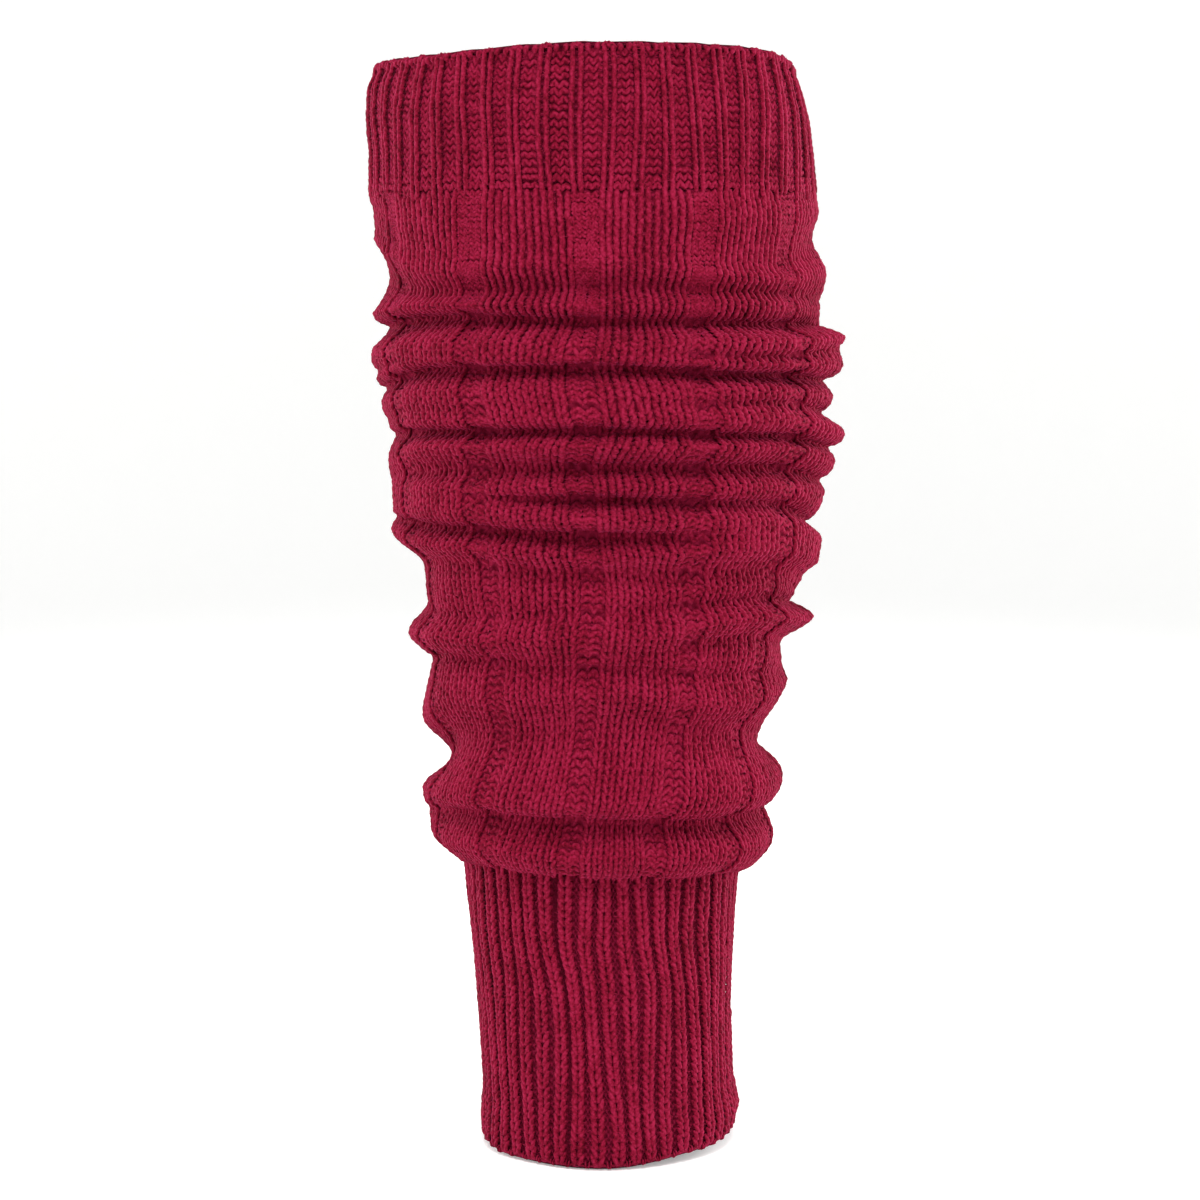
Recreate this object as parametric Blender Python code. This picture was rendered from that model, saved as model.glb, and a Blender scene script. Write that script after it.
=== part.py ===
# Slouched leg warmer: one knitted tube, standing as it is worn, built as three walled sections.
# The sections are the wide top rib, the slouched leg with its folds, and the ankle rib.
# Frame: metres, +Z up the leg, -Y is the front, +X is the right side as the photo shows it.
# The origin is on the leg axis at mid height of the top rib, where a calf holds the tube up.
import math

import bpy

MM = 0.001

# Sizes in millimetres. Heights are counted from the bottom hem, radii from the leg axis.
GRIP_HEIGHT = 302.0
WALL = 2.6
SEAM_GAP = 0.3
RIM_ROUND = 1.6
HEM_ROUND = 0.8

# Knit layout: 96 stitch columns round the tube, so 48 ribs of one by one in both cuffs
# and 12 panels of six knit columns and two purl columns on the leg.
RIBS = 48
PANELS = 12
RIB_TURN = 360.0 / RIBS
PANEL_TURN = 360.0 / PANELS
CHANNEL_CENTRE = -4.5
RIB_CENTRE = CHANNEL_CENTRE + 0.75 * RIB_TURN

# One repeat of each knit, as points: turn from the repeat's centre in degrees, lift in mm.
TOP_RIB_POINTS = ((-1.5, 0.0), (1.5, 0.0), (2.6, -1.2), (4.9, -1.2))
ANKLE_RIB_POINTS = ((-2.3, 0.0), (2.3, 0.0), (3.2, -1.3), (4.3, -1.3))
PANEL_POINTS = ((-3.1, -1.0), (3.1, -1.0), (7.4, 0.0), (15.0, 0.1), (22.6, 0.0))

# Fold lines of the leg from top to bottom, a crease and a crest by turns.
# Columns: name, heights and radii at (left, front left, front, front right, right, back).
FOLDS = (
    ("seam_top", (284.0, 281.0, 279.9, 281.2, 284.0, 284.0), (69.7, 67.9, 65.8, 64.9, 64.1, 66.3)),
    ("crest_a", (277.5, 273.5, 271.2, 274.5, 278.1, 276.3), (68.0, 67.6, 66.8, 65.7, 64.7, 66.9)),
    ("crease_a", (273.9, 263.3, 264.7, 260.6, 270.7, 268.9), (67.7, 66.6, 66.0, 63.4, 62.7, 65.4)),
    ("crest_b", (269.7, 258.8, 259.7, 256.3, 259.7, 263.3), (68.0, 67.3, 66.7, 65.9, 67.2, 67.4)),
    ("crease_c", (258.9, 252.7, 254.2, 253.0, 252.0, 255.0), (63.4, 64.0, 61.3, 63.0, 64.9, 61.5)),
    ("crest_c", (248.1, 249.0, 248.8, 249.3, 248.4, 249.3), (68.5, 67.8, 66.3, 66.0, 65.2, 67.5)),
    ("crease_d", (244.1, 246.2, 244.6, 244.1, 244.6, 245.5), (63.1, 60.6, 60.1, 60.1, 64.9, 60.6)),
    ("crest_d", (235.9, 237.8, 237.8, 239.2, 241.2, 240.7), (69.0, 68.5, 68.0, 70.0, 73.0, 70.0)),
    ("crease_e", (230.9, 235.3, 235.3, 235.0, 238.3, 236.5), (66.5, 68.1, 67.8, 66.8, 70.9, 66.3)),
    ("crest_e", (228.8, 233.6, 233.7, 232.2, 233.2, 234.2), (67.4, 68.0, 68.0, 69.7, 72.4, 69.5)),
    ("crease_f", (225.8, 231.6, 231.7, 229.8, 228.3, 228.5), (64.1, 61.1, 60.6, 61.1, 66.0, 61.6)),
    ("crest_f", (221.3, 224.6, 224.6, 225.5, 223.4, 222.8), (65.9, 67.2, 67.9, 68.6, 69.2, 68.6)),
    ("crease_g", (217.7, 220.1, 221.1, 221.8, 218.6, 219.2), (64.7, 66.1, 67.0, 66.2, 65.1, 65.2)),
    ("crest_g", (215.7, 216.7, 218.0, 217.6, 212.1, 215.1), (63.9, 66.0, 67.5, 69.2, 73.1, 68.7)),
    ("crease_h", (212.4, 213.7, 214.2, 212.5, 208.2, 210.0), (61.5, 59.5, 60.2, 62.2, 67.8, 61.2)),
    ("crest_h", (205.2, 209.1, 209.8, 209.4, 204.6, 205.8), (64.0, 65.6, 66.7, 68.4, 70.0, 67.7)),
    ("crease_i", (200.1, 202.5, 204.0, 204.0, 198.6, 199.5), (63.4, 60.4, 58.4, 60.3, 65.2, 61.8)),
    ("crest_i", (196.2, 197.2, 198.9, 197.8, 195.3, 194.7), (63.0, 64.4, 65.1, 66.3, 66.7, 66.6)),
    ("crease_j", (192.9, 195.5, 195.1, 193.6, 186.0, 189.9), (62.8, 64.0, 57.2, 60.8, 60.6, 59.9)),
    ("crest_j", (190.2, 192.4, 189.2, 187.7, 180.9, 185.1), (62.7, 64.2, 64.7, 65.9, 66.2, 65.4)),
    ("crease_k", (188.0, 186.3, 185.1, 184.4, 177.9, 180.0), (61.2, 57.4, 56.2, 65.7, 65.9, 59.9)),
    ("crest_k", (183.9, 180.7, 178.8, 180.5, 174.6, 176.1), (63.3, 63.1, 62.7, 65.3, 65.5, 64.4)),
    ("crease_l", (172.5, 175.4, 173.3, 173.4, 168.8, 170.0), (53.2, 58.0, 57.3, 58.8, 60.4, 58.5)),
    ("crest_l", (168.2, 169.4, 168.8, 169.5, 165.5, 165.8), (52.5, 58.6, 59.3, 59.6, 58.2, 58.8)),
    ("crease_m", (162.8, 160.4, 163.1, 165.6, 162.2, 160.4), (52.2, 56.3, 57.3, 56.8, 55.8, 56.0)),
    ("crest_m", (152.9, 154.3, 156.6, 160.2, 157.4, 153.8), (58.3, 60.3, 61.0, 62.5, 63.9, 62.0)),
    ("crease_n", (146.2, 149.1, 150.3, 155.0, 149.5, 147.1), (51.0, 55.4, 56.9, 56.4, 53.7, 55.1)),
    ("crest_n", (145.0, 147.9, 148.9, 151.0, 145.6, 145.3), (50.9, 54.3, 57.0, 57.1, 54.1, 55.4)),
    ("crease_o", (143.8, 146.8, 147.0, 143.9, 142.9, 143.2), (51.2, 55.5, 54.1, 54.6, 54.6, 54.1)),
    ("crest_o", (127.3, 138.0, 140.5, 135.4, 138.0, 135.0), (54.2, 56.2, 57.2, 57.2, 55.9, 57.2)),
    ("crease_p", (115.7, 125.0, 129.6, 125.9, 119.2, 118.6), (45.4, 49.7, 51.8, 50.3, 46.9, 48.2)),
    ("crest_p", (106.3, 107.5, 108.8, 108.6, 110.3, 105.2), (54.3, 54.9, 55.8, 54.9, 54.8, 55.3)),
    ("crease_q", (100.7, 103.3, 102.8, 100.9, 101.2, 97.9), (52.5, 47.8, 47.0, 45.8, 48.6, 48.8)),
    ("crest_q", (93.6, 93.7, 92.1, 92.0, 91.5, 90.0), (51.9, 51.8, 52.9, 51.9, 52.0, 53.4)),
    ("seam_low", (83.8, 86.0, 85.2, 83.8, 80.6, 81.4), (42.0, 43.4, 44.7, 43.0, 41.5, 45.2)),
)

# How a crease is formed, above it and below it, at the same six places: 0 is a sharp tuck,
# 1 a soft hollow, 2 a hollow with a wide floor. Creases that are not listed have COMMON_SHAPE.
COMMON_SHAPE = ((0.0,) * 6, (0.5,) * 6)
SHAPES = {
    "seam_top": ((1.0,) * 6, (1.0,) * 6),
    "crease_a": ((1.0,) * 6, (1.0,) * 6),
    "crease_c": ((2.0, 1.0, 0.5, 0.5, 0.4, 0.6), (2.0, 1.0, 0.8, 0.6, 0.4, 0.7)),
    "crease_d": ((0.0,) * 6, (0.8, 0.8, 0.8, 0.6, 0.3, 0.6)),
    "crease_i": ((0.0, 1.2, 0.5, 0.3, 0.0, 0.4), (0.3, 1.2, 1.0, 0.8, 0.4, 0.8)),
    "crease_k": ((0.0,) * 6, (0.3, 0.8, 1.6, 1.0, 0.3, 0.6)),
    "crease_l": ((1.0,) * 6, (1.0,) * 6),
    "crease_m": ((0.3,) * 6, (1.0, 0.7, 0.6, 0.6, 0.1, 0.6)),
    "crease_n": ((0.5, 0.4, 0.4, 0.6, 1.0, 0.5), (0.5,) * 6),
    "crease_p": ((1.0, 1.2, 1.0, 1.2, 1.5, 1.0), (1.3, 1.0, 1.0, 0.8, 0.3, 0.8)),
    "crease_q": ((0.0,) * 6, (0.4, 1.1, 1.3, 1.1, 0.3, 0.8)),
    "seam_low": ((0.6, 0.3, 0.1, 0.1, 0.3, 0.2), (1.0,) * 6),
}
TOP_SIDE_POWER = 1.8  # how a sharp tuck's lower side leaves the crest below it
HOLLOW_POWER = 1.8

# The rim and the hem are not level: their heights at the same six places.
RIM_EDGE = (322.0, 320.4, 321.6, 322.4, 320.2, 320.8)
HEM_EDGE = (1.6, -0.6, -0.9, 1.3, 3.0, 0.8)

# Sections of the two cuffs: share of the way from the upper edge to the lower edge,
# then the radii at (left, front left, front, front right, right, back).
TOP_SECTIONS = (
    (0.05, (68.0, 66.4, 65.6, 62.0, 57.6, 65.6)),
    (0.15, (69.9, 67.5, 66.2, 63.0, 59.2, 66.5)),
    (0.40, (70.3, 68.8, 66.8, 64.8, 61.6, 67.2)),
    (0.70, (69.4, 68.3, 66.6, 65.2, 63.0, 67.2)),
    (1.00, (69.7, 67.9, 65.8, 64.9, 64.1, 66.3)),
)
ANKLE_SECTIONS = (
    (0.00, (42.0, 43.4, 44.7, 43.0, 41.5, 45.2)),
    (0.14, (40.9, 42.7, 44.2, 42.5, 40.6, 45.2)),
    (0.33, (39.2, 41.5, 43.4, 41.8, 39.8, 44.8)),
    (0.52, (38.0, 40.8, 43.0, 41.4, 39.2, 44.4)),
    (0.83, (36.2, 39.9, 42.8, 41.6, 40.2, 44.2)),
    (0.93, (36.9, 40.4, 43.0, 42.6, 42.1, 44.4)),
    (0.985, (37.0, 40.2, 42.8, 42.0, 40.8, 44.1)),
)

# Hidden quarters: height and radius of their own slow waves, and the wave lengths in mm.
BACK_HEIGHT_WAVE = 1.4
BACK_RADIUS_WAVE = 0.8
WAVE_LENGTHS = (23.0, 31.0)

# Where the extra line between a crest and a crease lies, as a share of the way to the crease.
MIDDLE_SHARE = 0.6
OFFSET_STEPS = 9


def eight_columns(six, height, wave):
    """Turn (left, front left, front, front right, right, back) into eight turns of 45 degrees."""
    left, front_left, front, front_right, right, back = six
    back_right = (right + back) / 2 + wave * math.sin(height / WAVE_LENGTHS[0])
    back_left = (left + back) / 2 + wave * math.cos(height / WAVE_LENGTHS[1])
    return (front, front_right, right, back_right, back, back_left, left, front_left)


def around(columns, turn):
    """Value at a turn in degrees from the front, eased between the eight columns."""
    place = (turn % 360.0) / 45.0
    first = int(place) % 8
    ease = 0.5 - 0.5 * math.cos(math.pi * (place - int(place)))
    return columns[first] * (1 - ease) + columns[(first + 1) % 8] * ease


def fold_columns():
    """Heights and radii of every fold line at the eight turns."""
    lines = []
    for name, heights, radii in FOLDS:
        mean_height = sum(heights) / len(heights)
        tall = eight_columns(heights, mean_height, BACK_HEIGHT_WAVE)
        wide = eight_columns(radii, mean_height, BACK_RADIUS_WAVE)
        lines.append((name, tall, wide))
    return lines


FOLD_LINES = fold_columns()


def fall_share(share, shape, above):
    """How far the cloth has fallen in, with 0 at the crest and 1 in the crease."""
    sharp = 1 - math.sqrt(1 - share * share) if above else share ** TOP_SIDE_POWER
    soft = 0.5 - 0.5 * math.cos(math.pi * share)
    hollow = 1 - (1 - share) ** HOLLOW_POWER
    if shape < 1:
        return sharp + shape * (soft - sharp)
    return soft + (shape - 1) * (hollow - soft)


def fold_profile(turn):
    """Leg profile at one turn: (height, radius) from the top seam to the low seam."""
    points = []
    for index, (name, tall, wide) in enumerate(FOLD_LINES):
        line = (around(tall, turn), around(wide, turn))
        if index:
            above = index % 2 == 0  # this line is a crease, and the cloth above it comes next
            crest, crease = (points[-1], line) if above else (line, points[-1])
            crease_name = name if above else FOLD_LINES[index - 1][0]
            shapes = SHAPES.get(crease_name, COMMON_SHAPE)[0 if above else 1]
            shape = around(eight_columns(shapes, 0.0, 0.0), turn)
            fall = fall_share(MIDDLE_SHARE, shape, above)
            points.append((crest[0] + MIDDLE_SHARE * (crease[0] - crest[0]),
                           crest[1] + fall * (crease[1] - crest[1])))
        points.append(line)
    return points


def profile_radius(points, height):
    """Radius on a falling profile at one height."""
    for (high, radius_high), (low, radius_low) in zip(points, points[1:]):
        if height >= low:
            share = (high - height) / (high - low)
            return radius_high + min(max(share, 0.0), 1.0) * (radius_low - radius_high)
    return points[-1][1]


def inner_radius(points, height, wall):
    """Radius of the inside: every outer point keeps the wall's thickness from it."""
    best = profile_radius(points, height) - wall
    for step in range(1, OFFSET_STEPS):
        away = wall * step / OFFSET_STEPS
        reach = math.sqrt(wall * wall - away * away)
        for side in (-away, away):
            if points[-1][0] < height + side < points[0][0]:
                best = min(best, profile_radius(points, height + side) - reach)
    return best


def place(turn, height, radius):
    """Point in metres in the part's frame."""
    angle = math.radians(turn)
    return (radius * math.sin(angle) * MM, -radius * math.cos(angle) * MM,
            (height - GRIP_HEIGHT) * MM)


def repeat_turns(points, count, centre):
    """All turns of one ring with their lifts, from the points of one repeat."""
    pitch = 360.0 / count
    return [(centre + pitch * index + turn, lift) for index in range(count) for turn, lift in points]


def tube_object(name, colour, outer_rows, inner_rows):
    """Closed wall from outer rows, top to bottom, and inner rows with half as many points."""
    vertices = []
    rows = []
    for row in outer_rows + inner_rows:
        rows.append(range(len(vertices), len(vertices) + len(row)))
        vertices.extend(row)
    outer = rows[:len(outer_rows)]
    inner = rows[len(outer_rows):]
    faces = []
    for upper, lower in zip(outer, outer[1:]):
        count = len(upper)
        for index in range(count):
            after = (index + 1) % count
            faces.append((upper[index], lower[index], lower[after], upper[after]))
    for upper, lower in zip(inner, inner[1:]):
        count = len(upper)
        for index in range(count):
            after = (index + 1) % count
            faces.append((upper[index], upper[after], lower[after], lower[index]))
    for wide, narrow, top in ((outer[0], inner[0], True), (outer[-1], inner[-1], False)):
        count = len(narrow)
        for index in range(count):
            after = (index + 1) % count
            first, middle, last = (wide[(2 * index + step) % len(wide)] for step in range(3))
            strip = [(first, middle, narrow[index]), (middle, narrow[after], narrow[index]),
                     (middle, last, narrow[after])]
            faces.extend(strip if top else [face[::-1] for face in strip])
    mesh = bpy.data.meshes.new(name)
    mesh.from_pydata(vertices, [], faces)
    mesh.update()
    part = bpy.data.objects.new(name, mesh)
    bpy.context.scene.collection.objects.link(part)
    material = bpy.data.materials.new(name + "_yarn")
    material.use_nodes = True
    shader = material.node_tree.nodes["Principled BSDF"]
    shader.inputs["Base Color"].default_value = colour
    shader.inputs["Roughness"].default_value = 0.9
    mesh.materials.append(material)
    return part


def cuff_rows(sections, upper_edge, lower_edge, turns, wall):
    """Rows of a cuff between two edges given as functions of the turn; wall 0 is outside."""
    rows = []
    for share, radii in sections:
        columns = eight_columns(radii, share, 0.0)
        row = []
        for turn, lift in turns:
            high = upper_edge(turn)
            height = high + share * (lower_edge(turn) - high)
            row.append(place(turn, height, around(columns, turn) + lift - wall))
        rows.append(row)
    return rows


def edge_row(row_radii, edge, turns, inset):
    """One row right on an edge, drawn in by the rounding of that edge."""
    columns = eight_columns(row_radii, 0.0, 0.0)
    return [place(turn, edge(turn), around(columns, turn) + lift - inset) for turn, lift in turns]


def build_top_rib():
    """Wide one by one rib, from the rounded rim down to the top seam."""
    turns = repeat_turns(TOP_RIB_POINTS, RIBS, RIB_CENTRE)
    inside = [(turn, 0.0) for turn, lift in turns[::2]]
    seam = FOLD_LINES[0][1]
    rim_line = eight_columns(RIM_EDGE, 0.0, 0.0)

    def rim(turn):
        return around(rim_line, turn)

    def lower(turn):
        return around(seam, turn) + SEAM_GAP / 2

    outer = [edge_row(TOP_SECTIONS[0][1], rim, turns, RIM_ROUND)]
    outer += cuff_rows(TOP_SECTIONS, rim, lower, turns, 0.0)
    inner = [edge_row(TOP_SECTIONS[0][1], rim, inside, WALL)]
    inner += cuff_rows(TOP_SECTIONS[1:], rim, lower, inside, WALL)
    return tube_object("top_rib", (0.235, 0.011, 0.030, 1.0), outer, inner)


def build_ankle_rib():
    """Long narrow one by one rib, from the low seam down to the rounded hem."""
    turns = repeat_turns(ANKLE_RIB_POINTS, RIBS, RIB_CENTRE)
    inside = [(turn, 0.0) for turn, lift in turns[::2]]
    seam = FOLD_LINES[-1][1]
    hem_line = eight_columns(HEM_EDGE, 0.0, 0.0)

    def upper(turn):
        return around(seam, turn) - SEAM_GAP / 2

    def hem(turn):
        return around(hem_line, turn)

    outer = cuff_rows(ANKLE_SECTIONS, upper, hem, turns, 0.0)
    outer.append(edge_row(ANKLE_SECTIONS[-1][1], hem, turns, HEM_ROUND))
    inner = cuff_rows(ANKLE_SECTIONS[:-1:2], upper, hem, inside, WALL)
    inner.append(edge_row(ANKLE_SECTIONS[-1][1], hem, inside, WALL))
    return tube_object("ankle_rib", (0.215, 0.010, 0.027, 1.0), outer, inner)


def build_slouched_leg():
    """Folded leg: the outer rows follow crests, creases and one line between each two."""
    turns = repeat_turns(PANEL_POINTS, PANELS, CHANNEL_CENTRE)
    if len(turns) % 2:
        raise ValueError("the outer ring needs an even count of points")
    profiles = {turn: fold_profile(turn) for turn, lift in turns}
    for points in profiles.values():
        points[0] = (points[0][0] - SEAM_GAP / 2, points[0][1])
        points[-1] = (points[-1][0] + SEAM_GAP / 2, points[-1][1])
    row_count = len(next(iter(profiles.values())))
    outer = []
    for index in range(row_count):
        outer.append([place(turn, profiles[turn][index][0], profiles[turn][index][1] + lift)
                      for turn, lift in turns])
    inner = []
    for index in range(0, row_count, 2):
        row = []
        for turn, lift in turns[::2]:
            height = profiles[turn][index][0]
            row.append(place(turn, height, inner_radius(profiles[turn], height, WALL)))
        inner.append(row)
    return tube_object("slouched_leg", (0.225, 0.010, 0.028, 1.0), outer, inner)


for old in list(bpy.data.objects):
    bpy.data.objects.remove(old, do_unlink=True)

build_top_rib()
build_slouched_leg()
build_ankle_rib()
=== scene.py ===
# %% [markdown]
# # A slouched leg warmer, stitch by stitch
# The object is one knitted tube, pushed down into rolls as it is worn. A smooth tube with a
# knit picture on it would look flat at every edge, so here each stitch is a small piece of
# yarn, laid on a folded surface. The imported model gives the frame, in metres: +Z runs up the
# leg and -Y is the front. The script only adds looks to it.

import math

import bpy
import numpy as np
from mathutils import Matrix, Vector


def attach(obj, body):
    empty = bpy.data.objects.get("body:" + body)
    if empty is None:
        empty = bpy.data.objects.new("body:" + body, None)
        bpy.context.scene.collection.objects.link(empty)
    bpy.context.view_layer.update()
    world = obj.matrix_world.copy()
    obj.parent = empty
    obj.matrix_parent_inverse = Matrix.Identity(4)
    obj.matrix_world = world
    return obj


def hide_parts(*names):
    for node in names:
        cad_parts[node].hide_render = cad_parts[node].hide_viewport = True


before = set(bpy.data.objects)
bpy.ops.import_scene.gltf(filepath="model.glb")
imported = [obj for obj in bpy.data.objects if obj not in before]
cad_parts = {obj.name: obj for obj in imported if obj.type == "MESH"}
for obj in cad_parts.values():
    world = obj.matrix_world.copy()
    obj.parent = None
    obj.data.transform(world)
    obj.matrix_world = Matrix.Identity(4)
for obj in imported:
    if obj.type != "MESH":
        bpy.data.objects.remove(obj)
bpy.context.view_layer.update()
print("nodes:", sorted(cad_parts))

# %% [markdown]
# ## Sizes
# All sizes are in millimetres, counted up from the hem, because the sizes of a knit are easy to
# read in that unit, and they turn to metres in one place. The knit has 96 columns of stitches
# all round. In the two cuffs a knit column and a purl column take turns. On the leg, two purl
# columns and six knit columns make one of 12 panels.

# %% Sizes of the tube and its knit
MM = 0.001
GRIP_HEIGHT = 302.0  # the frame's origin, mid height of the top rib
WALL = 2.6
COLUMNS = 96
PANEL = 8
COLUMN_TURN = 360.0 / COLUMNS
CHANNEL_CENTRE = -4.5  # turn of the front purl channel, in degrees from the front
RIBS = COLUMNS // 2
RIB_CENTRE = CHANNEL_CENTRE + 1.5 * COLUMN_TURN
RIM_LIFT = 0.45  # mm that each rib stands up at the rim, and the purl beside it lies back
YARN_SINK = 1.0  # the yarn's middle lies this deep under the wall's outside
CLOTH_SINK = {"ankle": 2.0, "leg": 1.35, "top": 1.85}  # and the plain cloth under it this deep
rng = np.random.default_rng(11)
print("one column is", round(2 * math.pi * 67 / COLUMNS, 2), "mm wide at the calf")

# %% [markdown]
# ## The fold lines
# Slouched cloth is a stack of rolls. Each crease and each crest is one line round the tube,
# with its own height and radius at six turns. The sides, and the heights at the front, follow
# readings from the photo, which a small program outside this script turned into millimetres;
# some were changed by hand after that. The depths at the front and all of the back are guesses.
# No formula makes a real heap of cloth, so a table holds it.

# %% Fold lines from the top seam to the low seam
# Heights and radii at (left, front left, front, front right, right, back).
FOLDS = (
    ("seam_top", (284.0, 281.0, 279.9, 281.2, 284.0, 284.0), (69.7, 67.9, 65.8, 64.9, 64.1, 66.3)),
    ("crest_a", (277.5, 273.5, 271.2, 274.5, 278.1, 276.3), (68.0, 67.6, 66.8, 65.7, 64.7, 66.9)),
    ("crease_a", (273.9, 263.3, 264.7, 260.6, 270.7, 268.9), (67.7, 66.6, 66.0, 63.4, 62.7, 65.4)),
    ("crest_b", (269.7, 258.8, 259.7, 256.3, 259.7, 263.3), (68.0, 67.3, 66.7, 65.9, 67.2, 67.4)),
    ("crease_c", (258.9, 252.7, 254.2, 253.0, 252.0, 255.0), (63.4, 64.0, 61.3, 63.0, 64.9, 61.5)),
    ("crest_c", (248.1, 249.0, 248.8, 249.3, 248.4, 249.3), (68.5, 67.8, 66.3, 66.0, 65.2, 67.5)),
    ("crease_d", (244.1, 246.2, 244.6, 244.1, 244.6, 245.5), (63.1, 60.6, 60.1, 60.1, 64.9, 60.6)),
    ("crest_d", (235.9, 237.8, 237.8, 239.2, 241.2, 240.7), (69.0, 68.5, 68.0, 70.0, 73.0, 70.0)),
    ("crease_e", (230.9, 235.3, 235.3, 235.0, 238.3, 236.5), (66.5, 68.1, 67.8, 66.8, 70.9, 66.3)),
    ("crest_e", (228.8, 233.6, 233.7, 232.2, 233.2, 234.2), (67.4, 68.0, 68.0, 69.7, 72.4, 69.5)),
    ("crease_f", (225.8, 231.6, 231.7, 229.8, 228.3, 228.5), (64.1, 61.1, 60.6, 61.1, 66.0, 61.6)),
    ("crest_f", (221.3, 224.6, 224.6, 225.5, 223.4, 222.8), (65.9, 67.2, 67.9, 68.6, 69.2, 68.6)),
    ("crease_g", (217.7, 220.1, 221.1, 221.8, 218.6, 219.2), (64.7, 66.1, 67.0, 66.2, 65.1, 65.2)),
    ("crest_g", (215.7, 216.7, 218.0, 217.6, 212.1, 215.1), (63.9, 66.0, 67.5, 69.2, 73.1, 68.7)),
    ("crease_h", (212.4, 213.7, 214.2, 212.5, 208.2, 210.0), (61.5, 59.5, 60.2, 62.2, 67.8, 61.2)),
    ("crest_h", (205.2, 209.1, 209.8, 209.4, 204.6, 205.8), (64.0, 65.6, 66.7, 68.4, 70.0, 67.7)),
    ("crease_i", (200.1, 202.5, 204.0, 204.0, 198.6, 199.5), (63.4, 60.4, 58.4, 60.3, 65.2, 61.8)),
    ("crest_i", (196.2, 197.2, 198.9, 197.8, 195.3, 194.7), (63.0, 64.4, 65.1, 66.3, 66.7, 66.6)),
    ("crease_j", (192.9, 195.5, 195.1, 193.6, 186.0, 189.9), (62.8, 64.0, 57.2, 60.8, 60.6, 59.9)),
    ("crest_j", (190.2, 192.4, 189.2, 187.7, 180.9, 185.1), (62.7, 64.2, 64.7, 65.9, 66.2, 65.4)),
    ("crease_k", (188.0, 186.3, 185.1, 184.4, 177.9, 180.0), (61.2, 57.4, 56.2, 65.7, 65.9, 59.9)),
    ("crest_k", (183.9, 180.7, 178.8, 180.5, 174.6, 176.1), (63.3, 63.1, 62.7, 65.3, 65.5, 64.4)),
    ("crease_l", (172.5, 175.4, 173.3, 173.4, 168.8, 170.0), (53.2, 58.0, 57.3, 58.8, 60.4, 58.5)),
    ("crest_l", (168.2, 169.4, 168.8, 169.5, 165.5, 165.8), (52.5, 58.6, 59.3, 59.6, 58.2, 58.8)),
    ("crease_m", (162.8, 160.4, 163.1, 165.6, 162.2, 160.4), (52.2, 56.3, 57.3, 56.8, 55.8, 56.0)),
    ("crest_m", (152.9, 154.3, 156.6, 160.2, 157.4, 153.8), (58.3, 60.3, 61.0, 62.5, 63.9, 62.0)),
    ("crease_n", (146.2, 149.1, 150.3, 155.0, 149.5, 147.1), (51.0, 55.4, 56.9, 56.4, 53.7, 55.1)),
    ("crest_n", (145.0, 147.9, 148.9, 151.0, 145.6, 145.3), (50.9, 54.3, 57.0, 57.1, 54.1, 55.4)),
    ("crease_o", (143.8, 146.8, 147.0, 143.9, 142.9, 143.2), (51.2, 55.5, 54.1, 54.6, 54.6, 54.1)),
    ("crest_o", (127.3, 138.0, 140.5, 135.4, 138.0, 135.0), (54.2, 56.2, 57.2, 57.2, 55.9, 57.2)),
    ("crease_p", (115.7, 125.0, 129.6, 125.9, 119.2, 118.6), (45.4, 49.7, 51.8, 50.3, 46.9, 48.2)),
    ("crest_p", (106.3, 107.5, 108.8, 108.6, 110.3, 105.2), (54.3, 54.9, 55.8, 54.9, 54.8, 55.3)),
    ("crease_q", (100.7, 103.3, 102.8, 100.9, 101.2, 97.9), (52.5, 47.8, 47.0, 45.8, 48.6, 48.8)),
    ("crest_q", (93.6, 93.7, 92.1, 92.0, 91.5, 90.0), (51.9, 51.8, 52.9, 51.9, 52.0, 53.4)),
    ("seam_low", (83.8, 86.0, 85.2, 83.8, 80.6, 81.4), (42.0, 43.4, 44.7, 43.0, 41.5, 45.2)),
)

# %% [markdown]
# Between the columns of a table a cosine eases the value. It never overshoots, so no fold line
# can cross the next one. The two hidden quarters at the back get a slow wave of their own.

# %% Read a table at any turn
BACK_HEIGHT_WAVE = 1.4
BACK_RADIUS_WAVE = 0.8
WAVE_LENGTHS = (23.0, 31.0)


def eight_columns(six, height, wave):
    """Turn the six listed values into eight, with a slow wave in the hidden quarters."""
    left, front_left, front, front_right, right, back = six
    back_right = (right + back) / 2 + wave * math.sin(height / WAVE_LENGTHS[0])
    back_left = (left + back) / 2 + wave * math.cos(height / WAVE_LENGTHS[1])
    return np.array((front, front_right, right, back_right, back, back_left, left, front_left))


def around(columns, turns):
    """Values at the given turns (degrees from the front), eased between evenly spaced columns."""
    place = np.mod(turns, 360.0) * len(columns) / 360.0
    first = np.floor(place).astype(int)
    ease = 0.5 - 0.5 * np.cos(np.pi * (place - first))
    first = first % len(columns)
    return columns[first] * (1 - ease) + columns[(first + 1) % len(columns)] * ease


print(len(FOLDS), "fold lines")

# %% [markdown]
# ## The cuffs
# The cuffs have no rolls, only a slow change of radius. Their sections are a share of the way
# from the upper edge to the lower edge.

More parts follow.
